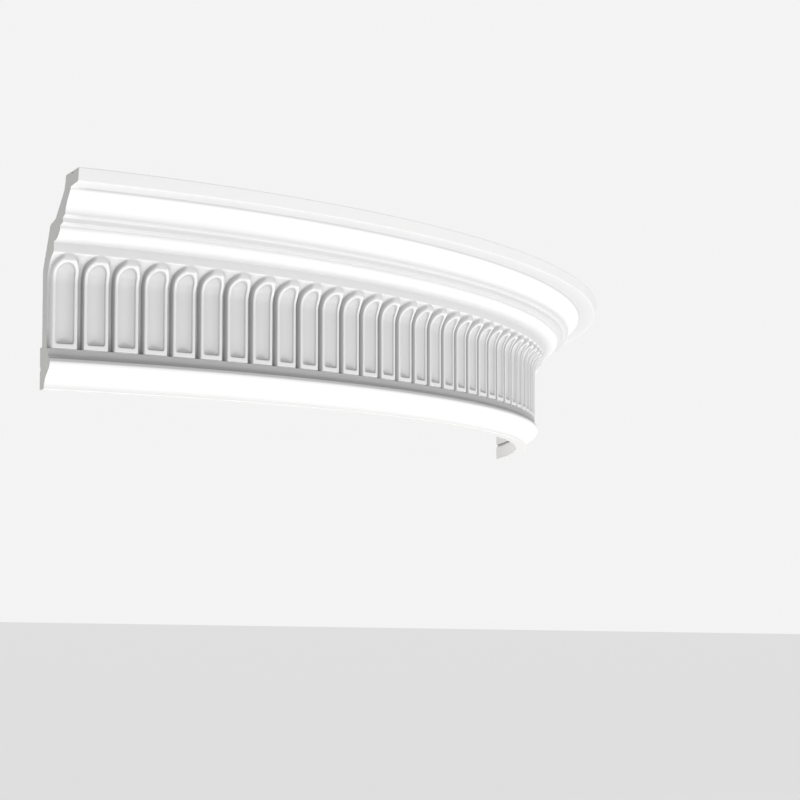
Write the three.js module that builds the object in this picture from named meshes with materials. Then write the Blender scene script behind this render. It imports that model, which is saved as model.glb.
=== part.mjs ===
import * as THREE from "three";

// A curved length of fluted cornice moulding, cast in one piece and cut square at both ends.
// Millimetres, +Z up. The ceiling plane is z = 0, and at mid-length the front looks along -Y.
// A point of the section is [out, z], where out is its distance in front of the wall face.

// Driving dimensions of the whole length
const height = 180;
const wallRadius = 905;
const fluteCount = 40;
const flutePitch = THREE.MathUtils.degToRad(1.8);
const originOut = 97;

// Crown, from the ceiling down: lip, fillet, hollow, small fascia, quarter round, plain fascia.
// A bend lists the control points between the ends of a curve.
const lipOut = 105.5;
const lipLowerOut = 102.5;
const lipHeight = 11.5;
const filletTop = [83.7, -12.4];
const filletMiddle = [82.1, -14];
const filletFoot = [81.5, -16.7];
const hollowFoot = [67.9, -33.7];
const hollowBend = [76.5, -20.5, 68.6, -25.5];
const smallFasciaTop = [62.5, -35.3];
const smallFasciaFoot = [61.4, -39.6];
const roundOut = 54.7;
const roundTop = -41.2;
const roundFoot = -52.2;
const fasciaOut = 36.5;

// Fluted band: upright for most of its height, then a hollow bend that sweeps out to the fascia
const bendZ = -86.4;
const bendRadius = 20.2;
const rimOut = 25.2;
const valleyDepth = 6.3;
const hollowDepth = 4.6;
const bandFoot = -145.3;

// Outlines of one flute, seen from the front, from its outer edge in to the floor of its hollow
const fluteEdge = { halfWidth: 12.7, top: -60.7, foot: bandFoot, corner: 0.4, depth: valleyDepth };
const rimOutside = { halfWidth: 11.3, top: -67, foot: -144.6, corner: 0.8, depth: 0 };
const rimInside = { halfWidth: 8.4, top: -69.2, foot: -140.2, corner: 2, depth: 0.2 };
const hollowFloor = { halfWidth: 5, top: -72.5, foot: -138.6, corner: 2, depth: hollowDepth };
const archSteps = 8;

// Foot, under the flutes: a recess, a rounded nose and a wave moulding down to the bottom edge
const recessOut = 23.2;
const recessFoot = -149.4;
const recessBendZ = -153.6;
const noseTop = [28.4, -154.4];
const nose = [29.2, -156.4];
const waveBend = [29, -166.5, 12.8, -166.5];
const bottomOut = 12.2;

// Back: a strip that meets the wall, a clear space behind the flutes and a stepped slope
const wallStripTop = -142.2;
const backClearance = 5.8;
const slopeFoot = -73.4;
const stepFoot = [26.5, -35.8];
const stepTop = [41.2, -33];
const slopeTop = [64, -13.5];
const slopeBend = [68.4, -8];
const ceilingStripOut = 69;
const grooveWidth = 3.6;
const grooveDepth = 1.8;
const wallGrooveZ = -161.5;
const ceilingGrooveOut = 87.5;

// A curved stretch of the outline is cut into this many straight ones
const curveSteps = 5;
const backCurveSteps = 2;
// Control handle of a cubic that follows a quarter of an ellipse
const quarterHandle = 0.5523;

// Section from the ceiling down to the top of the flutes
function crownProfile() {
  const path = new THREE.Path();
  path.moveTo(lipOut, 0);
  path.lineTo(lipLowerOut, -lipHeight);
  path.lineTo(...filletTop);
  path.lineTo(...filletMiddle);
  path.lineTo(...filletFoot);
  path.bezierCurveTo(...hollowBend, ...hollowFoot);
  path.lineTo(...smallFasciaTop);
  path.lineTo(...smallFasciaFoot);
  path.lineTo(roundOut, roundTop);
  path.bezierCurveTo(
    roundOut,
    roundTop + quarterHandle * (roundFoot - roundTop),
    fasciaOut + quarterHandle * (roundOut - fasciaOut),
    roundFoot,
    fasciaOut,
    roundFoot,
  );
  return path.getPoints(curveSteps);
}

// Section from the foot of the flutes down to the bottom edge
function footProfile() {
  const path = new THREE.Path();
  path.moveTo(recessOut, recessFoot);
  path.quadraticCurveTo(recessOut, recessBendZ, ...noseTop);
  path.lineTo(...nose);
  path.bezierCurveTo(...waveBend, bottomOut, -height);
  return path.getPoints(curveSteps);
}

// Section of the back, from the bottom edge up to the ceiling, with the glue grooves
function backProfile() {
  const half = grooveWidth / 2;
  const path = new THREE.Path();
  path.moveTo(0, -height);
  path.lineTo(0, wallGrooveZ - half);
  path.lineTo(grooveDepth, wallGrooveZ - half);
  path.lineTo(grooveDepth, wallGrooveZ + half);
  path.lineTo(0, wallGrooveZ + half);
  path.lineTo(0, wallStripTop);
  path.lineTo(backClearance, wallStripTop);
  path.lineTo(backClearance, slopeFoot);
  path.lineTo(...stepFoot);
  path.lineTo(...stepTop);
  path.lineTo(...slopeTop);
  path.quadraticCurveTo(...slopeBend, ceilingStripOut, 0);
  path.lineTo(ceilingGrooveOut - half, 0);
  path.lineTo(ceilingGrooveOut - half, -grooveDepth);
  path.lineTo(ceilingGrooveOut + half, -grooveDepth);
  path.lineTo(ceilingGrooveOut + half, 0);
  return path.getPoints(backCurveSteps);
}

// How far out the fluted band's surface lies at a height, when it is sunk by a depth
function bandOut(z, depth) {
  const radius = bendRadius + depth;
  const rise = Math.max(0, z - bendZ);
  const out = rimOut + bendRadius - Math.sqrt(Math.max(0, radius ** 2 - rise ** 2));
  return Math.min(fasciaOut, out);
}

const positions = [];
const faces = [];
const known = new Map();

// A point on the moulding. Its turn is the angle from mid-length, and equal points share a vertex.
function point(turn, out, z) {
  const key = [turn.toFixed(6), out.toFixed(4), z.toFixed(4)].join(" ");
  if (!known.has(key)) {
    const radius = wallRadius + out;
    known.set(key, positions.length / 3);
    const y = wallRadius + originOut - radius * Math.cos(turn);
    positions.push(radius * Math.sin(turn), y, z);
  }
  return { turn, out, z, index: known.get(key) };
}

function triangle(a, b, c) {
  faces.push(a.index, b.index, c.index);
}

function quad(a, b, c, d) {
  triangle(a, b, c);
  triangle(a, c, d);
}

// The surface between two lines of points that both run from left to right
function stitch(lower, upper) {
  let low = 0;
  let high = 0;
  while (low < lower.length - 1 || high < upper.length - 1) {
    const nextLow = lower[low + 1]?.turn ?? Infinity;
    const nextHigh = upper[high + 1]?.turn ?? Infinity;
    if (nextLow <= nextHigh) {
      triangle(lower[low], lower[low + 1], upper[high]);
      low++;
    } else {
      triangle(lower[low], upper[high + 1], upper[high]);
      high++;
    }
  }
}

// Where the plain mouldings are divided along the length, with one flat facet at mid-length
const leftEnd = (-fluteCount * flutePitch) / 2;
const rightEnd = -leftEnd;
const columns = [leftEnd];
for (let valley = 1; valley < fluteCount; valley += 2) {
  columns.push(leftEnd + valley * flutePitch);
}
columns.push(rightEnd);

// One edge of the section, carried along the length
function alongLength({ x: out, y: z }) {
  return columns.map((turn) => point(turn, out, z));
}

// Plain mouldings, from the first edge of the list to the last
function plainSurface(edges) {
  const lines = edges.map(alongLength);
  for (let edge = 1; edge < lines.length; edge++) {
    stitch(lines[edge], lines[edge - 1]);
  }
  return lines;
}

// One closed outline of a flute, counter-clockwise from the foot of its arch on the right:
// a half-round arch, straight sides that start at the bend, and a foot with cut corners
function fluteOutline(middle, { halfWidth, top, foot, corner, depth }) {
  const spring = top - halfWidth;
  const places = [];
  for (let step = 0; step <= archSteps; step++) {
    const angle = (Math.PI * step) / archSteps;
    places.push([halfWidth * Math.cos(angle), spring + halfWidth * Math.sin(angle)]);
  }
  places.push([-halfWidth, bendZ], [-halfWidth, foot + corner], [-halfWidth + corner, foot]);
  places.push([halfWidth - corner, foot], [halfWidth, foot + corner], [halfWidth, bendZ]);
  return places.map(([across, z]) => {
    const out = z === bandFoot ? recessOut : bandOut(z, depth);
    return point(middle + across / (wallRadius + rimOut), out, z);
  });
}

// The ring of surface between two outlines of a flute
function ringSurface(outer, inner) {
  for (let k = 0; k < outer.length; k++) {
    const next = (k + 1) % outer.length;
    quad(outer[k], outer[next], inner[next], inner[k]);
  }
}

// A flute's outline as two lines that both run from the crown of the arch down to the foot
function rightSide(outline) {
  const last = outline.length - 1;
  const arch = outline.slice(0, archSteps / 2 + 1).reverse();
  return [...arch, outline[last], outline[last - 1], outline[last - 2]];
}

function leftSide(outline) {
  return outline.slice(archSteps / 2, archSteps + 4);
}

// The surface between a line on the left and a line on the right with points at equal heights
function valleySurface(left, right) {
  for (let k = 1; k < left.length; k++) {
    quad(left[k], right[k], right[k - 1], left[k - 1]);
  }
}

// The floor of a hollow
function floorSurface(outline) {
  const left = leftSide(outline);
  const right = rightSide(outline);
  triangle(left[0], left[1], right[1]);
  for (let k = 2; k < left.length; k++) {
    quad(left[k], right[k], right[k - 1], left[k - 1]);
  }
}

// All the flutes with the valleys between them. Returns their outer edges.
function flutes() {
  const edges = [];
  for (let flute = 0; flute < fluteCount; flute++) {
    const middle = leftEnd + (flute + 0.5) * flutePitch;
    const edge = fluteOutline(middle, fluteEdge);
    const outside = fluteOutline(middle, rimOutside);
    const inside = fluteOutline(middle, rimInside);
    const floor = fluteOutline(middle, hollowFloor);
    ringSurface(edge, outside);
    ringSurface(outside, inside);
    ringSurface(inside, floor);
    floorSurface(floor);
    if (flute > 0) valleySurface(rightSide(edges[flute - 1]), leftSide(edge));
    edges.push(edge);
  }
  return edges;
}

// A flat cut end. The outline runs clockwise when out points right and z points up.
function cutEnd(turn, outline) {
  const flat = outline.map(({ out, z }) => new THREE.Vector2(out, z));
  for (const corners of THREE.ShapeUtils.triangulateShape(flat, [])) {
    const [a, b, c] = corners.map((corner) => flat[corner]);
    const area = (b.x - a.x) * (c.y - a.y) - (c.x - a.x) * (b.y - a.y);
    const facesLeft = turn === leftEnd;
    const [p, q, r] = area > 0 === facesLeft ? corners : [...corners].reverse();
    triangle(outline[p], outline[q], outline[r]);
  }
}

function corniceGeometry() {
  const crown = crownProfile();
  const foot = footProfile();
  const back = backProfile();
  const crownLines = plainSurface(crown);
  const lowerLines = plainSurface([...foot, ...back, crown[0]]);
  const edges = flutes();

  // The cut ends pass down the middle of a valley
  const firstSide = leftSide(edges[0]);
  const lastSide = rightSide(edges[fluteCount - 1]);
  const leftCut = firstSide.map(({ out, z }) => point(leftEnd, out, z));
  const rightCut = lastSide.map(({ out, z }) => point(rightEnd, out, z));
  valleySurface(leftCut, firstSide);
  valleySurface(lastSide, rightCut);

  // The band's upper edge joins the fascia, and its lower edge joins the recess
  const crownOfArch = archSteps / 2;
  const upperEdge = [leftCut[0], ...edges.map((edge) => edge[crownOfArch]), rightCut[0]];
  const feet = edges.flatMap((edge) => [leftSide(edge).at(-1), rightSide(edge).at(-1)]);
  stitch(upperEdge, crownLines.at(-1));
  stitch(lowerLines[0], [leftCut.at(-1), ...feet, rightCut.at(-1)]);

  const plainLines = lowerLines.slice(0, -1);
  cutEnd(leftEnd, [...crownLines.map((line) => line[0]), ...leftCut, ...plainLines.map((line) => line[0])]);
  const rightOutline = [...crownLines, rightCut, ...plainLines];
  cutEnd(
    rightEnd,
    rightOutline.flatMap((line) => (line === rightCut ? rightCut : [line.at(-1)])),
  );

  const geometry = new THREE.BufferGeometry();
  geometry.setAttribute("position", new THREE.Float32BufferAttribute(positions, 3));
  geometry.setIndex(faces);
  geometry.computeVertexNormals();
  return geometry;
}

const primedWhite = new THREE.MeshStandardMaterial({
  color: 0xf1f1ee,
  roughness: 0.6,
  metalness: 0,
});

const cornice = new THREE.Mesh(corniceGeometry(), primedWhite);
cornice.name = "cornice_length";

const part = new THREE.Group();
part.add(cornice);

export default part;
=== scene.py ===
# %% [markdown]
# # A curved, fluted cornice moulding
# The real object is one casting: a length of white cornice that bends round a convex wall. From
# the ceiling down it has a stepped crown, a band of arched flutes, a dark recess and a rounded
# foot. This lesson starts from the part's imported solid, which fixes its size and its place. It
# then works out a finer surface with numpy, gives it a primer coat, and lights it softly, mostly
# from below.

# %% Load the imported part
import math

import bmesh
import bpy
import numpy as np
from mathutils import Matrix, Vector


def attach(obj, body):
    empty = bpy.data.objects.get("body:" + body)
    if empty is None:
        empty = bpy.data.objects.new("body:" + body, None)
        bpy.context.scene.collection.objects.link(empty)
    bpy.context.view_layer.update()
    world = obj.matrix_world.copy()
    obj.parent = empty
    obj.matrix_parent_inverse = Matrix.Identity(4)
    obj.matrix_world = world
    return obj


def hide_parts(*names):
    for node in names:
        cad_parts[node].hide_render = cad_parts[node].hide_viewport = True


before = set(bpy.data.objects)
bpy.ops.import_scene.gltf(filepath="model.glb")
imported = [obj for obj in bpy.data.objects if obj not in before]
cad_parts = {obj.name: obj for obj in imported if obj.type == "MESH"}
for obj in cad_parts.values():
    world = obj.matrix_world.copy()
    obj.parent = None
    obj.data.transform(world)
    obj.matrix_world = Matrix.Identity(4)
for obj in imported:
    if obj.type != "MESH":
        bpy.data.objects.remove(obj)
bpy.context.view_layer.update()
print("nodes:", list(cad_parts))

# %% [markdown]
# ## From a section to a place
# Every point of the moulding has three plain numbers: `turn`, the angle round the wall from
# mid-length, `out`, its distance in front of the wall face, and `z`, its height under the
# ceiling. A curve and a bevel could also carry a section round the wall, but flutes change from
# point to point along it. With one function for the bend, each shape is drawn as if the wall were
# flat.

# %% The wall that the moulding bends round
MILLIMETRE = 0.001
WALL_RADIUS = 905.0
ORIGIN_OUT = 97.0
FLUTE_COUNT = 40
PITCH = math.radians(1.8)
END_TURN = FLUTE_COUNT * PITCH / 2


def place(turn, out, z):
    """Points in metres. A point lies on a circle about the wall's axis, whose radius is the wall's
    plus out. Its sideways place is that radius times the sine of the turn, and its depth is the
    axis less the radius times the cosine."""
    turn, out, z = np.broadcast_arrays(turn, out, z)
    radius = WALL_RADIUS + out
    depth = WALL_RADIUS + ORIGIN_OUT - radius * np.cos(turn)
    return np.stack([radius * np.sin(turn), depth, z], axis=-1) * MILLIMETRE


print("a point of the lip at mid-length:", place(0.0, 105.0, 0.0).round(4).tolist())

# %% [markdown]
# ## Soft corners
# A cast moulding has no knife edges: each corner is a small round that catches the light. A Bevel
# modifier could do this, but it would also round the flutes' fine edges. Here each corner of an
# outline carries its own reach, the distance from the corner at which the round starts.

# %% Round the corners of an outline
ROUND_STEPS = 3
LONGEST_REACH = 0.42
SAME_SPOT = 1e-3


def rounded(corners, steps=ROUND_STEPS, margin=0.0):
    """Outline with soft corners. Each row of corners is x, z and reach. A corner becomes a parabola
    between two points on its edges, each at the reach from it, or at 0.42 of the shorter edge where
    that is less. A margin adds one more point beyond both ends, so that flats shade flat."""
    corners = np.asarray(corners, float)
    spots = corners[1:-1, :2]
    before = corners[:-2, :2] - spots
    after = corners[2:, :2] - spots
    lengths = np.stack([np.linalg.norm(before, axis=1), np.linalg.norm(after, axis=1)])
    reach = np.minimum(corners[1:-1, 2], LONGEST_REACH * lengths.min(axis=0))
    before = before / lengths[0][:, None]
    after = after / lengths[1][:, None]
    extra = np.minimum(margin * (reach > 0), (0.5 - LONGEST_REACH) * lengths.min(axis=0))
    start = spots + before * reach[:, None]
    end = spots + after * reach[:, None]
    t = np.linspace(0, 1, steps + 1)[None, :, None]
    arcs = (1 - t) ** 2 * start[:, None] + 2 * t * (1 - t) * spots[:, None] + t**2 * end[:, None]
    first = (start + before * extra[:, None])[:, None]
    last = (end + after * extra[:, None])[:, None]
    middle = np.concatenate([first, arcs, last], axis=1).reshape(-1, 2)
    chain = np.vstack([corners[0, :2], middle, corners[-1, :2]])
    moved = np.linalg.norm(np.diff(chain, axis=0), axis=1) > SAME_SPOT
    return chain[np.append(True, moved)]


def bend(start, control_a, control_b, end, steps):
    """Points strictly between the ends of a cubic curve: a weighted sum of its four control
    points. The reach in the third column is nought."""
    t = np.linspace(0, 1, steps + 1)[1:-1, None]
    points = np.array([start, control_a, control_b, end], float)
    weights = np.hstack([(1 - t) ** 3, 3 * t * (1 - t) ** 2, 3 * t**2 * (1 - t), t**3])
    return np.hstack([weights @ points, np.zeros_like(t)])


# %% [markdown]
# ## The plain mouldings
# The crown, the foot and the back keep one section along the whole length, so they are a profile
# carried along a path. The profile starts under the flutes, goes down round the foot, up the back
# with its two glue grooves, along the ceiling face and down the crown to the plain fascia. It is
# drawn in out and z, and the third number of each corner is the reach of its round.

# %% Draw the foot and the back
HEIGHT = 180.0
FASCIA_OUT, RIM_OUT, RECESS_OUT = 36.5, 25.2, 23.2
BAND_TOP, BAND_FOOT = -60.15, -144.75
RECESS_TOP = BAND_FOOT - 0.6
NOSE_REACH = 1.3
GROOVE_DEPTH, GROOVE_REACH = 1.8, 0.2
NOSE_STEPS, BACK_STEPS, ROUND_FACE_STEPS, WAVE_STEPS = 7, 5, 14, 18
FLAT_MARGIN = 0.5

recess_foot, nose_top = (RECESS_OUT, -149.4), (27.5, -153.9)
nose, wave_foot = (29.2, -156.8), (12.2, -HEIGHT)
foot = [
    [(RECESS_OUT, RECESS_TOP, 0), (*recess_foot, 0)],
    bend(recess_foot, (RECESS_OUT, -151.8), (24.6, -152.8), nose_top, NOSE_STEPS),
    [(*nose_top, NOSE_REACH), (*nose, NOSE_REACH)],
    bend(nose, (29.0, -166.5), (12.8, -166.5), wave_foot, WAVE_STEPS),
    [(*wave_foot, 0.5)],
]


def groove(*corners):
    """The four corners of a glue groove, which all have the same reach."""
    return [(*spot, GROOVE_REACH) for spot in corners]


back_top, ceiling_edge = (64, -13.5), (69, 0)
back = [
    [(0, -HEIGHT, 0.5)],
    groove((0, -163.3), (GROOVE_DEPTH, -163.3), (GROOVE_DEPTH, -159.7), (0, -159.7)),
    [(0, -142.2, 0.4), (5.8, -142.2, 0.8), (5.8, -73.4, 3), (26.5, -35.8, 1.5), (41.2, -33, 1.5)],
    [(*back_top, 1)],
    bend(back_top, (66.9, -9.8), (68.6, -5.3), ceiling_edge, BACK_STEPS),
    [(*ceiling_edge, 0.4)],
    groove((85.7, 0), (85.7, -GROOVE_DEPTH), (89.3, -GROOVE_DEPTH), (89.3, 0)),
]
print("parts of the foot and the back:", len(foot), len(back))

# %% [markdown]
# The crown goes the other way, from the lip down to the fascia. Its large hollow-and-round
# moulding is a cyma. The round under it is a quarter of an ellipse, and a cubic curve comes very
# near to one when its control points lie 0.5523 of the way to the ellipse's corner.

# %% Draw the crown and join the parts
QUARTER = 0.5523

cyma_top, cyma_foot = (82.4, -14.0), (67.9, -33.7)
round_top, round_foot = (54.7, -41.2), (36.9, -52.2)
round_side = (round_top[0], round_top[1] + QUARTER * (round_foot[1] - round_top[1]))
round_under = (round_foot[0] + QUARTER * (round_top[0] - round_foot[0]), round_foot[1])
crown = [
    [(105.0, 0, 0.5), (102.4, -11.5, 0.5), (83.7, -12.4, 0.5), (*cyma_top, 0.4)],
    bend(cyma_top, (79.8, -18.6), (68.9, -24.8), cyma_foot, WAVE_STEPS),
    [(*cyma_foot, 0.4), (62.3, -35.3, 0.4), (61.8, -39.7, 0.5), (*round_top, 0.4)],
    bend(round_top, round_side, round_under, round_foot, ROUND_FACE_STEPS),
    [(*round_foot, 0.4), (FASCIA_OUT, BAND_TOP, 0)],
]
profile = rounded(np.vstack([np.array(part) for part in foot + back + crown]), margin=FLAT_MARGIN)
print("profile points:", len(profile))

# %% [markdown]
# ## One flute
# A flute is a shallow hollow inside a raised rim, with a half-round arch at its head and soft
# corners at its foot. It could be sculpted, or cut with booleans. Here it is a family of rings
# instead: the first ring lies in the valley beside the flute, the last one near the middle of its
# hollow. Each ring keeps the flute's outline, and the section across a flute says how deep it is
# sunk. Each row of the rim is a distance from the flute's middle, a depth and a reach.

# %% Draw the section across half a flute, from the valley to the hollow
VALLEY_DEPTH = 6.3
HOLLOW_EDGE = (8.05, 1.5)
HOLLOW_DEPTH = 4.4
HOLLOW_RINGS = 9
FIRST_WIDTH = 13.4
LAST_WIDTH = 0.9
RIM_ROUND_STEPS = 2

widths = np.linspace(HOLLOW_EDGE[0], LAST_WIDTH, HOLLOW_RINGS + 1)[1:]
sunk = HOLLOW_DEPTH - (HOLLOW_DEPTH - HOLLOW_EDGE[1]) * (widths / HOLLOW_EDGE[0]) ** 2
rim = [
    (FIRST_WIDTH, VALLEY_DEPTH, 0),
    (12.85, VALLEY_DEPTH, 0.4),
    (12.4, 4.29, 0),
    (11.55, 0.5, 0.6),
    (10.8, 0.0, 0.6),
    (9.1, 0.0, 0.5),
    (8.4, 0.4, 0.4),
    (*HOLLOW_EDGE, 0.5),
]
hollow = np.stack([widths, sunk, np.zeros_like(widths)], axis=1)
across = rounded(np.vstack([rim, hollow]), steps=RIM_ROUND_STEPS)
half_width, depth = across[:, 0], across[:, 1]
print("rings in a flute:", len(across))

# %% [markdown]
# The outline's measures change from ring to ring. The valley's outline reaches almost to the
# plain fascia, while the rim's arch starts 6 mm lower, so the band between them is wide at the
# top and narrow at the sides. Tables of a few known rings, with straight steps between them, give
# the rest. A corner's round is never more than 0.9 of its ring's half width. At the foot, the
# valley and the rim's outer slope rise to the recess, which is only 2 mm behind the rim.

# %% Measures of every ring
LARGEST_CORNER = 0.9
RIM_INSIDE = 9.5

known_widths = [0, HOLLOW_EDGE[0], 8.4, 9.1, 11.3, 12.85, FIRST_WIDTH]
known_tops = [-77.6, -69.55, -69.2, -68.6, -67.0, -60.7, BAND_TOP]
known_feet = [-133.8, -139.8, -140.2, -140.6, -144.35, -144.6, BAND_FOOT]
known_corners = [0, 2.0, 2.2, 2.3, 0.9, 0.5, 0.4]
arch_top = np.interp(half_width, known_widths, known_tops)
ring_foot = np.interp(half_width, known_widths, known_feet)
corner = np.interp(half_width, known_widths, known_corners)
corner = np.minimum(corner, LARGEST_CORNER * half_width)
shallow = depth * (RIM_OUT - RECESS_OUT) / VALLEY_DEPTH
sink_at_foot = np.where(half_width > RIM_INSIDE, shallow, depth)
print("arch tops from", arch_top.max(), "to", arch_top.min().round(2))

# %% [markdown]
# The bottom of the narrow valleys, the recess, the crown's creases and the arch heads get painted
# shade: their base colour is darkened where shade falls. It could be painted by hand. Here each
# point carries a number for it instead, its painted shade: 0 in the open, and 1 where it is
# darkest. The slope outside the rim has one extra ring, 12.4 mm from the flute's middle, for the
# arch's painted shade.

# %% Painted shade of the rings, the recess and the crown
HOLLOW_PAINTED_SHADE, VALLEY_PAINTED_SHADE = 0.1, 0.05
UPRIGHT_TOP, ARCH_LOW, FADE = -62, -82, 10

side_widths = [HOLLOW_EDGE[0], 9.1, 11.6, 12.6]
side_painted_shade = np.interp(half_width, side_widths, [HOLLOW_PAINTED_SHADE, 0, 0, VALLEY_PAINTED_SHADE])
head_widths = [7.0, 8.2, 8.9, 11.3, 12.4, 12.75]
head_painted_shade = np.interp(half_width, head_widths, [0.3, 0.6, 0, 0, 0.2, 0])


def flute_painted_shade(z):
    """A ring's painted shade on the upright part, which fades out from 72 mm under the ceiling to
    62 mm, plus its painted shade on the arch, which fades in from 82 mm to 72 mm."""
    upright, arch = np.clip((UPRIGHT_TOP - z) / FADE, 0, 1), np.clip((z - ARCH_LOW) / FADE, 0, 1)
    return side_painted_shade[:, None] * upright + head_painted_shade[:, None] * arch


def recess_painted_shade(z):
    """Painted shade, in straight steps between known heights. It grows from the nose into the
    recess's corner.
    """
    return np.interp(z, [-153.6, -152.6, -151.0, -149.0, -145.0], [0, 0.3, 1.0, 0.9, 0.9])


def crown_painted_shade(z):
    """Painted shade in the creases under the lip, the cyma and the step, in steps between known
    heights.
    """
    lip = np.interp(z, [-15.0, -13.9, -12.9, -12.3], [0, 0.6, 0.8, 0])
    cyma = np.interp(z, [-35.6, -34.6, -33.9, -31.8], [0, 0.2, 0.4, 0])
    step = np.interp(z, [-41.6, -40.2, -39.4, -38.2], [0, 0.25, 0.3, 0])
    return lip + cyma + step


print("most shelter at the sides and heads:", side_painted_shade.max(), head_painted_shade.max().round(2))

# %% [markdown]
# The band of flutes stands upright for most of its height and then sweeps out to the fascia in a
# hollow curve. A point that is sunk by some depth follows the same curve on a larger radius. A
# soft minimum keeps the sweep behind the fascia, and rounds the edge where they meet.

# %% The band's surface
BEND_Z = -86.4
BEND_RADIUS = 20.2
EDGE_SOFTNESS = 0.4


def band_out(z, sink):
    """Distance in front of the wall. Under the bend it is the rim's distance less the sink. Above
    it is a circle about a centre in front of the rim, whose radius is the bend's plus the sink.
    The result is the soft minimum of that and the fascia's distance."""
    rise = np.maximum(z - BEND_Z, 0)
    radius = BEND_RADIUS + sink
    sweep = RIM_OUT + BEND_RADIUS - np.sqrt(np.maximum(radius**2 - rise**2, 0))
    middle, gap = (FASCIA_OUT + sweep) / 2, (FASCIA_OUT - sweep) / 2
    return middle - np.sqrt(gap**2 + EDGE_SOFTNESS**2)


print("out at the foot, the bend and the top:", band_out(np.array([-140, -75, -60.7]), 0).round(1))

# %% [markdown]
# Every ring has the same number of points, counted from the top of its arch down to its foot. So
# the points of two neighbouring rings pair off, and the skin between them is plain squares.

# %% Half an outline for every ring, from the top of the arch down to the foot
ARCH_STEPS = 16
SIDE_STEPS = 3
CORNER_STEPS = 3


def stretch(start, end, steps):
    """Evenly spaced values from start to end without the start, one row for each ring."""
    t = np.arange(1, steps + 1) / steps
    return start[:, None] + (end - start)[:, None] * t


def half_outlines():
    """Distance from the middle and height of each point. The arch is a quarter circle of the
    ring's half width, the side drops to the bend and on to the corner, and the corner is a quarter
    circle."""
    arch = np.linspace(0, math.pi / 2, ARCH_STEPS + 1)
    turned = np.linspace(0, math.pi / 2, CORNER_STEPS + 1)[1:]
    width = half_width[:, None]
    spring = arch_top - half_width
    corner_top = ring_foot + corner
    away = [width * np.sin(arch), np.repeat(width, 2 * SIDE_STEPS, axis=1)]
    away.append(width - corner[:, None] * (1 - np.cos(turned)))
    height = [spring[:, None] + width * np.cos(arch)]
    height.append(stretch(spring, np.full_like(spring, BEND_Z), SIDE_STEPS))
    height.append(stretch(np.full_like(spring, BEND_Z), corner_top, SIDE_STEPS))
    height.append(corner_top[:, None] - corner[:, None] * np.sin(turned))
    return np.hstack(away), np.hstack(height)


away, height = half_outlines()
rows = away.shape[1]
to_foot = np.clip((np.arange(rows) - (rows - 1 - CORNER_STEPS)) / CORNER_STEPS, 0, 1)
sink = depth[:, None] + (sink_at_foot - depth)[:, None] * to_foot
out = band_out(height, sink)
print("points down half a ring:", rows)

# %% [markdown]
# A full ring is the half outline on the left, one point in the middle of the foot, and the same
# half mirrored on the right. The ring is then copied to each flute by adding that flute's turn.
# Between two flutes, and down the middle of a hollow, the left and right sides have points at
# equal heights, so a strip of three columns closes each of those gaps.

# %% All the flutes, as grids of points
RIM_RADIUS = WALL_RADIUS + RIM_OUT


def mirrored(left, middle, right):
    """A closed ring: down the left half, the middle of the foot, and back up the right half."""
    return np.hstack([left, middle[:, None], right[:, :0:-1]])


ring_turn = mirrored(-away, np.zeros(len(away)), away) / RIM_RADIUS
ring_z = mirrored(height, height[:, -1], height)
ring_out = mirrored(out, out[:, -1], out)
# The rings' painted shade, which darkens the base colour where shade falls.
ring_shade_values = flute_painted_shade(ring_z)
valleys = -END_TURN + PITCH * np.arange(FLUTE_COUNT + 1)
middles = valleys[:-1] + PITCH / 2
flute_rings = place(middles[:, None, None] + ring_turn, ring_out, ring_z)

inner = away[-1] / RIM_RADIUS
inner_turn = middles[:, None, None] + np.stack([-inner, 0 * inner, inner], axis=1)
hollow_strip = place(inner_turn, out[-1][:, None], height[-1][:, None])

gap = PITCH / 2 - away[0] / RIM_RADIUS
valley_turn = valleys[:, None, None] + np.stack([-gap, 0 * gap, gap], axis=1)
valley_turn = np.clip(valley_turn, -END_TURN, END_TURN)
valley_strip = place(valley_turn, out[0][:, None], height[0][:, None])
print("rings:", flute_rings.shape, "valleys:", valley_strip.shape)

# %% [markdown]
# The plain mouldings need only two columns for each flute, one at its middle and one in the
# valley. Under the flutes a row of fine points meets a row of those columns. The lower row
# repeats some of its points, and where points fall on each other the grid's squares become
# triangles.

# %% The plain surface and the row that joins it to the flutes
columns = -END_TURN + PITCH / 2 * np.arange(2 * FLUTE_COUNT + 1)
profile[-1] = out[0, 0], BAND_TOP
plain = place(columns, profile[:, :1], profile[:, 1:])

steps_fine = np.array([0, gap[-1], PITCH / 2, PITCH - gap[-1]])
steps_plain = np.array([0, PITCH / 2, PITCH / 2, PITCH / 2])
fine_turns = np.append((valleys[:-1, None] + steps_fine).ravel(), END_TURN)
plain_turns = np.append((valleys[:-1, None] + steps_plain).ravel(), END_TURN)
join = np.stack([
    place(fine_turns, out[0, -1], BAND_FOOT),
    place(plain_turns, RECESS_OUT, RECESS_TOP),
])
print("plain rows and columns:", plain.shape[:2])

# %% [markdown]
# ## Sew the grids into one closed skin
# Each grid becomes squares by taking its neighbouring points four at a time. The cut ends are one
# flat face each, round the whole section. Merging the doubles then closes every seam, and the
# normals are worked out again so that all faces point outwards. Every face also keeps a number
# that says whether it is primed, or bare foam as on the back and the cut ends.

# %% Squares from a grid
PRIMED, BARE = 0, 1


def squares(shape, closed=False):
    """Four corners for each square of a grid: a point, its neighbour in the row, and the two below
    them. A closed grid also joins its last column to its first."""
    index = np.arange(shape[0] * shape[1]).reshape(shape[:2])
    if closed:
        index = np.hstack([index, index[:, :1]])
    corners = [index[:-1, :-1], index[:-1, 1:], index[1:, 1:], index[1:, :-1]]
    return np.stack(corners, axis=-1).reshape(-1, 4)


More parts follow.
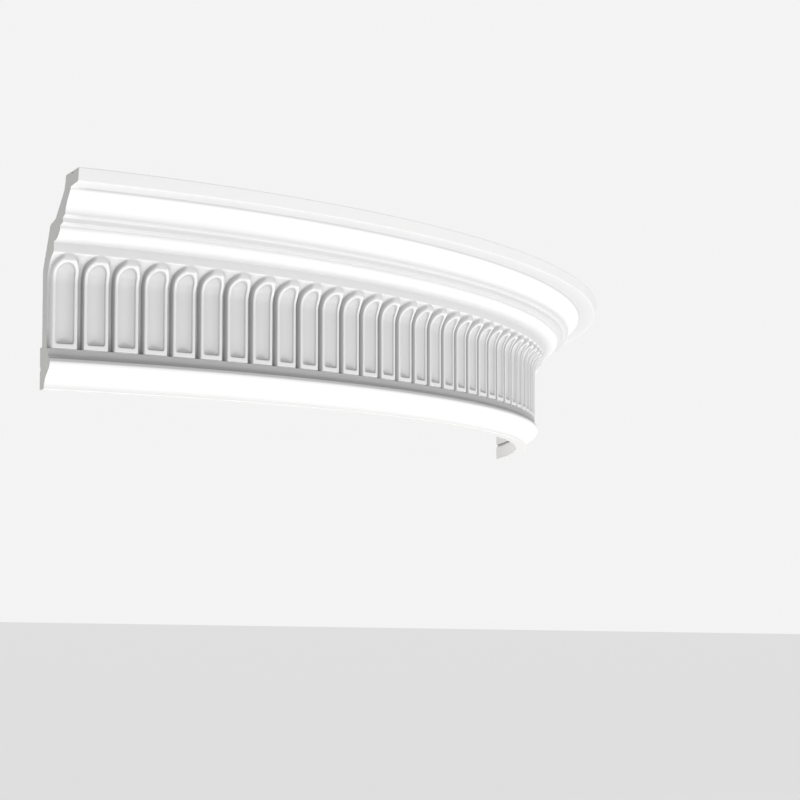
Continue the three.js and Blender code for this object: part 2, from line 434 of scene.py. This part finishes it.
def grids(points, closed=False):
    """Points and squares of many equal grids. Each grid's numbers are moved past the last one's."""
    one = squares(points.shape[-3:-1], closed)
    count = points.shape[-3] * points.shape[-2]
    stack = points.reshape(-1, count, 3)
    shifts = np.arange(len(stack))[:, None, None] * count
    return stack.reshape(-1, 3), (one[None] + shifts).reshape(-1, 4)


def painted_shade_per_point(points, painted_shade):
    """One painted shade number for every point of the grids, in the same order as their points."""
    return np.broadcast_to(painted_shade, points.shape[:-1]).ravel()


TOUCHING = 0.01

foot_end = np.flatnonzero(profile[:, 1] < TOUCHING - HEIGHT)[0]
lip_start = np.flatnonzero(profile[:, 1] > -TOUCHING)[-1]
plain_foot, plain_crown = plain[: foot_end + 1], plain[lip_start:]
plain_back = plain[foot_end : lip_start + 1]
valley_shade_values = flute_painted_shade(height)[0][:, None]
hollow_shade_values = flute_painted_shade(height)[-1][:, None]
foot_shade_values = recess_painted_shade(profile[: foot_end + 1, 1:])
crown_shade_values = crown_painted_shade(profile[lip_start:, 1:])
# Each piece carries painted shade for its points: darker base colour where shade falls.
pieces = [
    (*grids(flute_rings, closed=True), painted_shade_per_point(flute_rings, ring_shade_values), PRIMED),
    (*grids(hollow_strip), painted_shade_per_point(hollow_strip, hollow_shade_values), PRIMED),
    (*grids(valley_strip), painted_shade_per_point(valley_strip, valley_shade_values), PRIMED),
    (*grids(join), painted_shade_per_point(join, recess_painted_shade(RECESS_TOP)), PRIMED),
    (*grids(plain_foot), painted_shade_per_point(plain_foot, foot_shade_values), PRIMED),
    (*grids(plain_back), painted_shade_per_point(plain_back, 0), BARE),
    (*grids(plain_crown), painted_shade_per_point(plain_crown, crown_shade_values), PRIMED),
]
section_out = np.concatenate([out[0], profile[:-1, 0]])
section_z = np.concatenate([height[0], profile[:-1, 1]])
ends = place(np.array([[-END_TURN], [END_TURN]]), section_out, section_z)
print("faces before merging:", sum(len(faces) for _, faces, _, _ in pieces))

# %% One mesh
MERGE_DISTANCE = 4e-6
SQUARE_CORNERS = 4
LITRES = 1000


def joined(pieces, ends):
    """Vertices, faces, painted shade numbers and kinds of all the pieces, each piece's numbers
    moved past the last one's. The cut ends come last, and have no painted shade."""
    starts = np.cumsum([0] + [len(piece[0]) for piece in pieces])
    points = np.concatenate([piece[0] for piece in pieces] + [ends.reshape(-1, 3)])
    faces = np.concatenate([piece[1] + start for piece, start in zip(pieces, starts)]).tolist()
    painted_shades = np.concatenate([piece[2] for piece in pieces] + [np.zeros(ends[..., 0].size)])
    kinds = np.concatenate([np.full(len(piece[1]), piece[3]) for piece in pieces]).tolist()
    caps = starts[-1] + np.arange(ends.shape[0] * ends.shape[1]).reshape(ends.shape[:2])
    return points, faces + caps.tolist(), painted_shades, kinds + [BARE] * len(caps)


def skin(name, points, faces, painted_shades, kinds):
    """A closed mesh object. Doubles are merged, normals point out, and the cut ends, which are the
    only faces with more corners than a square, get sharp edges."""
    mesh = bpy.data.meshes.new(name)
    mesh.from_pydata(points.tolist(), [], faces)
    bare = mesh.attributes.new("bare", "FLOAT", "FACE")
    bare.data.foreach_set("value", np.array(kinds, np.float32))
    # Each point's painted shade, which darkens its base colour where shade falls.
    painted_shade = mesh.attributes.new("painted_shade", "FLOAT", "POINT")
    painted_shade.data.foreach_set("value", painted_shades.astype(np.float32))
    work = bmesh.new()
    work.from_mesh(mesh)
    bmesh.ops.remove_doubles(work, verts=work.verts, dist=MERGE_DISTANCE)
    bmesh.ops.recalc_face_normals(work, faces=work.faces)
    for face in work.faces:
        face.smooth = True
        if len(face.verts) > SQUARE_CORNERS:
            for edge in face.edges:
                edge.smooth = False
    open_edges = sum(not edge.is_manifold for edge in work.edges)
    print(f"{name}: {len(work.verts)} vertices, open edges {open_edges},", end=" ")
    print(f"volume {work.calc_volume() * LITRES:.3f} litres")
    work.to_mesh(mesh)
    work.free()
    made = bpy.data.objects.new(name, mesh)
    bpy.context.scene.collection.objects.link(made)
    return made


cornice = skin("cornice_surface", *joined(pieces, ends))
triangles = sum(len(face.vertices) - 2 for face in cornice.data.polygons)
print("triangles:", triangles)

# %% [markdown]
# ## Nodes as arithmetic
# A pattern in a material is a small sum of noises and masks. Adding every Math node by hand hides
# that sum, so one class wraps a socket and gives it the usual operators, and one method of the
# material adds any other node: its kind, its settings, and the values or links of its sockets.

# %% A socket that can be added, subtracted and multiplied
class Wire:
    """An output socket of a node tree. Each operator adds one Math node."""

    def __init__(self, finish, socket):
        self.finish, self.socket = finish, socket

    def math(self, operation, first, second):
        return self.finish.node("Math", {"operation": operation}, {0: first, 1: second})

    def __add__(self, other):
        return self.math("ADD", self, other)

    def __sub__(self, other):
        return self.math("SUBTRACT", self, other)

    def __rsub__(self, other):
        return self.math("SUBTRACT", other, self)

    def __mul__(self, other):
        return self.math("MULTIPLY", self, other)

    __radd__ = __add__
    __rmul__ = __mul__


class Finish:
    """A node tree whose nodes all come from node(): settings first, then values or links."""

    def __init__(self, owner):
        owner.use_nodes = True
        self.owner, self.tree = owner, owner.node_tree
        self.tree.nodes.clear()

    def node(self, kind, settings, sockets, output=0):
        made = self.tree.nodes.new("ShaderNode" + kind)
        for name, value in settings.items():
            setattr(made, name, value)
        for name, value in sockets.items():
            if isinstance(value, Wire):
                self.tree.links.new(value.socket, made.inputs[name])
            else:
                made.inputs[name].default_value = value
        return Wire(self, made.outputs[output]) if made.outputs else None

    def noise(self, vector, scale, detail):
        return self.node("TexNoise", {}, {"Vector": vector, "Scale": scale, "Detail": detail})

    def blend(self, factor, first, second):
        """A colour between two colours. Mix's sockets 0, 6 and 7 are its factor and its colours."""
        return self.node("Mix", {"data_type": "RGBA"}, {0: factor, 6: first, 7: second}, output=2)


print("nodes are ready")

# %% [markdown]
# ## The primer coat
# The moulding leaves the factory under a matte white primer. It is sprayed, so it has a very fine
# stipple, faint clouds of tone where the coat is thicker, and slightly uneven gloss. The back and
# the cut ends are bare foam: a little creamier, duller, and pitted with tiny cells. Both are
# worked out from Object coordinates, which are metres here, so each scale is a number of features
# per metre.

# %% Primed foam
STIPPLE_SCALE = 700
PEEL_SCALE = 130
CLOUD_SCALE = 9
CELL_SCALE = 900
RELIEF = 0.00004
THIN_COAT, THICK_COAT = (0.845, 0.845, 0.842, 1), (0.875, 0.875, 0.872, 1)
# Painted shade: the base colour where shade falls most, in the recesses and creases.
PAINTED_SHADE_TONE = (0.5, 0.5, 0.505, 1)
FOAM_PIT, FOAM_FACE = (0.70, 0.695, 0.68, 1), (0.78, 0.775, 0.76, 1)
PRIMER_ROUGHNESS, CLOUD_ROUGHNESS, STIPPLE_ROUGHNESS, FOAM_ROUGHNESS = 0.5, 0.12, 0.06, 0.2
STIPPLE_HEIGHT, CELL_HEIGHT = 0.35, 2.5
STIPPLE_DETAIL, PEEL_DETAIL, CLOUD_DETAIL = 3.0, 2.0, 4.0
BUMP_STRENGTH, COAT_IOR, COAT_SPECULAR = 0.25, 1.45, 0.35

primed = Finish(bpy.data.materials.new("primed_white"))
where = primed.node("TexCoord", {}, {}, output="Object")
bare = primed.node("Attribute", {"attribute_name": "bare"}, {}, output="Fac")
painted_shade = primed.node("Attribute", {"attribute_name": "painted_shade"}, {}, output="Fac")
stipple = primed.noise(where, STIPPLE_SCALE, STIPPLE_DETAIL)
peel = primed.noise(where, PEEL_SCALE, PEEL_DETAIL)
cloud = primed.noise(where, CLOUD_SCALE, CLOUD_DETAIL)
cells = primed.node("TexVoronoi", {}, {"Vector": where, "Scale": CELL_SCALE}, output="Distance")

open_coat = primed.blend(cloud, THIN_COAT, THICK_COAT)
# The coat is darkened by the painted shade number, down to 0.5 where shade falls.
coat_with_painted_shade = primed.blend(painted_shade, open_coat, PAINTED_SHADE_TONE)
foam_tone = primed.blend(cells, FOAM_PIT, FOAM_FACE)
roughness = PRIMER_ROUGHNESS + cloud * CLOUD_ROUGHNESS + stipple * STIPPLE_ROUGHNESS
roughness = roughness + bare * FOAM_ROUGHNESS
relief = (stipple * STIPPLE_HEIGHT + peel) * (1 - bare) + cells * bare * CELL_HEIGHT
bump = {"Strength": BUMP_STRENGTH, "Distance": RELIEF, "Height": relief}
surface = primed.node("BsdfPrincipled", {}, {
    "Base Color": primed.blend(bare, coat_with_painted_shade, foam_tone),
    "Roughness": roughness,
    "Normal": primed.node("Bump", {}, bump),
    "IOR": COAT_IOR,
    "Specular IOR Level": COAT_SPECULAR,
})
primed.node("OutputMaterial", {}, {"Surface": surface})
cornice.data.materials.append(primed.owner)
print("nodes in the primer:", len(primed.tree.nodes))

# %% [markdown]
# ## Tie the surface to the part
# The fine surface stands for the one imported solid. It rides on the part's only body, hides the
# solid and takes the record's slot for primed white.

# %% Body, solid and slot
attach(cornice, "root")
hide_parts("cornice_length")

# %% [markdown]
# ## A plain studio
# The moulding hangs high and is seen from a little below, so most of its light comes up from a
# pale floor. A sky image would do too, but a plain studio keeps the shapes readable. The floor
# glows in a ring round the wall's axis, under and in front of the moulding, so every flute gets
# the same light. Its glow fades from 0.5 to 0.75 metres on either side of the ring's middle, and
# the camera sees one even glow instead. The colour under the glow is dark, so the lamps leave
# hardly any mark on the floor. Light that bounces from one part of the moulding to another would
# fill the hollows and flatten them, so only light that comes straight from the studio is counted.

# %% Floor
FLOOR_Z = -1.1
FLOOR_SIZE = 40.0
AXIS_Y = (WALL_RADIUS + ORIGIN_OUT) * MILLIMETRE
RING_MIDDLE, RING_HALF, RING_FADE = 1.55, 0.5, 0.75
RING_GLOW, FAR_GLOW, SEEN_GLOW = 1.52, 0.5, 0.68
FLOOR_TONE, FLOOR_ROUGHNESS = (0.12, 0.12, 0.12, 1), 0.9
WHITE = (1, 1, 1, 1)
BOUNCES = 0

bpy.context.scene.cycles.diffuse_bounces = BOUNCES
bpy.ops.mesh.primitive_plane_add(size=FLOOR_SIZE, location=(0, 0, FLOOR_Z))
floor = bpy.context.object
floor.name = "studio_floor"
pale = Finish(bpy.data.materials.new("pale_floor"))
spot = pale.node("TexCoord", {}, {}, output="Object")
axis = {0: spot, 1: (0, AXIS_Y, 0)}
distance = pale.node("VectorMath", {"operation": "DISTANCE"}, axis, output="Value")
aside = pale.node("Math", {"operation": "ABSOLUTE"}, {0: distance - RING_MIDDLE})
fade = {0: aside, 1: RING_HALF, 2: RING_FADE, 3: RING_GLOW, 4: FAR_GLOW}
glow = pale.node("MapRange", {"interpolation_type": "SMOOTHSTEP"}, fade)
seen = pale.node("LightPath", {}, {}, output="Is Camera Ray")
paint = {"Base Color": FLOOR_TONE, "Roughness": FLOOR_ROUGHNESS, "Emission Color": WHITE}
paint["Emission Strength"] = glow + seen * (SEEN_GLOW - glow)
pale.node("OutputMaterial", {}, {"Surface": pale.node("BsdfPrincipled", {}, paint)})
floor.data.materials.append(pale.owner)
print("floor at", FLOOR_Z, "m")

# %% [markdown]
# The world is nearly white where the camera looks, as behind a product, but as a light it is much
# dimmer. One number cannot say both, so the strength asks whether the ray comes from the camera.

# %% World
DOME_LIGHT, SEEN_LIGHT = 0.31, 0.9

bpy.context.scene.world = bpy.data.worlds.new("studio")
sky = Finish(bpy.context.scene.world)
seen = sky.node("LightPath", {}, {}, output="Is Camera Ray")
strength = DOME_LIGHT + seen * (SEEN_LIGHT - DOME_LIGHT)
background = sky.node("Background", {}, {"Color": WHITE, "Strength": strength})
sky.node("OutputWorld", {}, {"Surface": background})
print("world nodes:", len(sky.tree.nodes))

# %% [markdown]
# The soft lights shape the rest. Two stand in front, one low on the right rakes across the
# flutes, and a weak one lies under the left end. One more hangs behind on the right, where it
# reaches only the back, the ceiling face and the far end. The camera doesn't see them. Each row
# of the table is a place, the point that it faces, the side of its square in metres, and its
# power in watts.

# %% Soft lights
MID_LENGTH = (0, 0.1, -0.1)


def soft_light(name, place_from, aim_at, size, watts):
    """A square area light that faces the point that it is aimed at."""
    lamp = bpy.data.lights.new(name, "AREA")
    lamp.size, lamp.energy = size, watts
    made = bpy.data.objects.new(name, lamp)
    bpy.context.scene.collection.objects.link(made)
    made.location = place_from
    heading = Vector(aim_at) - Vector(place_from)
    made.rotation_mode = "QUATERNION"
    made.rotation_quaternion = heading.to_track_quat("-Z", "Y")
    made.visible_camera = False
    print(name, "at", place_from)


LIGHTS = {
    "light_front": ((0, -2.9, -0.4), MID_LENGTH, 1.4, 17),
    "light_front_left": ((-1.9, -2.2, -0.4), MID_LENGTH, 1.4, 13),
    "light_low_right": ((1.21, -0.6, -1.0), MID_LENGTH, 1.4, 12),
    "light_under_left": ((-1.0, -0.15, -0.9), (-1.0, -0.15, 0), 1.0, 2.4),
    "light_behind_right": ((1.7, 1.9, 1.2), MID_LENGTH, 1.4, 70),
}
for name, (place_from, aim_at, size, watts) in LIGHTS.items():
    soft_light(name, place_from, aim_at, size, watts)

# %% [markdown]
# ## The camera
# The photo is taken from the left and from below the moulding, so that its plan curves away to
# the right. The place, the direction and the lens come from the picture's own perspective: the
# curves of the lip and the foot, and the upright edges. The shift only moves the frame, as on a
# view camera, and keeps those uprights almost parallel.

# %% Camera
CAMERA_PLACE = (-1.80902, -0.69666, -0.34179)
HEADING = (0.902137, 0.431450)
TILT = 0.0593064
LENS = 79.63
FRAME_SHIFT = 0.084
SENSOR = 36.0

eye = bpy.data.cameras.new("camera")
eye.sensor_width, eye.lens, eye.shift_y = SENSOR, LENS, FRAME_SHIFT
camera = bpy.data.objects.new("camera", eye)
bpy.context.scene.collection.objects.link(camera)
camera.location = CAMERA_PLACE
flat = math.cos(TILT)
view = Vector((HEADING[0] * flat, HEADING[1] * flat, math.sin(TILT)))
camera.rotation_mode = "QUATERNION"
camera.rotation_quaternion = view.to_track_quat("-Z", "Y")
bpy.context.scene.camera = camera
bpy.context.scene.view_settings.view_transform = "Standard"
print("lens", LENS, "mm")
